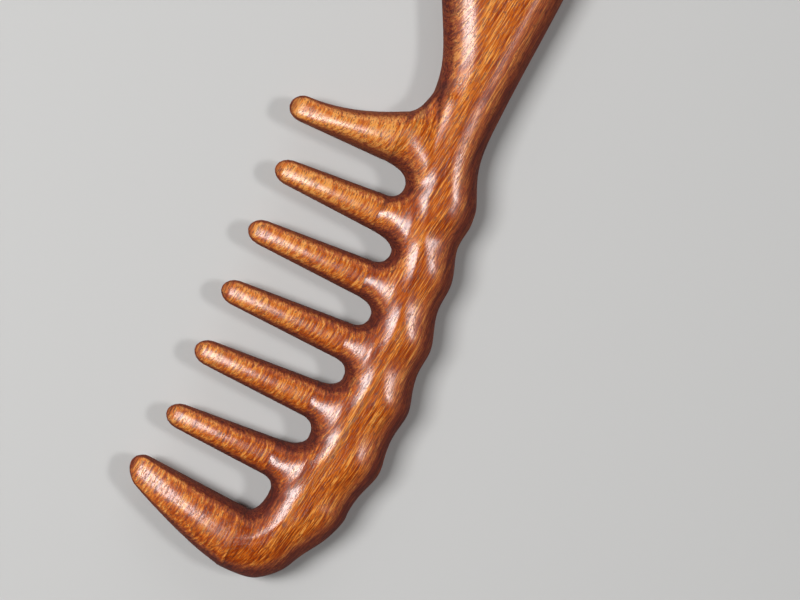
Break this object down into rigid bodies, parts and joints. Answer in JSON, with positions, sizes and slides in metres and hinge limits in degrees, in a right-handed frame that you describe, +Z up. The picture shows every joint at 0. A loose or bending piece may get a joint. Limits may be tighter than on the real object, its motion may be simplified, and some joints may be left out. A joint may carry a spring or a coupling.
{
  "type": "wide-tooth comb",
  "caption": "Wooden hair comb with a flared handle, a bowed spine with a scalloped back, and wide-set round tapered teeth glued into collars, for detangling thick or curly hair.",
  "frame": {"origin": "middle of the bounding box, on the surface that the comb lies on", "axes": "+X from the handle to the toe, -Y the way the teeth point, +Z up through the comb's thickness"},
  "size_m": [0.1906, 0.052, 0.013],
  "materials": {
    "spine_wood": "polished, satin gloss",
    "tooth_wood": "polished, satin gloss"
  },
  "bodies": {
    "root": {"handle_and_spine": "spine_wood", "tooth_1": "tooth_wood", "tooth_2": "tooth_wood", "tooth_3": "tooth_wood", "tooth_4": "tooth_wood", "tooth_5": "tooth_wood", "tooth_6": "tooth_wood", "tooth_7": "tooth_wood"}
  },
  "joints": []
}
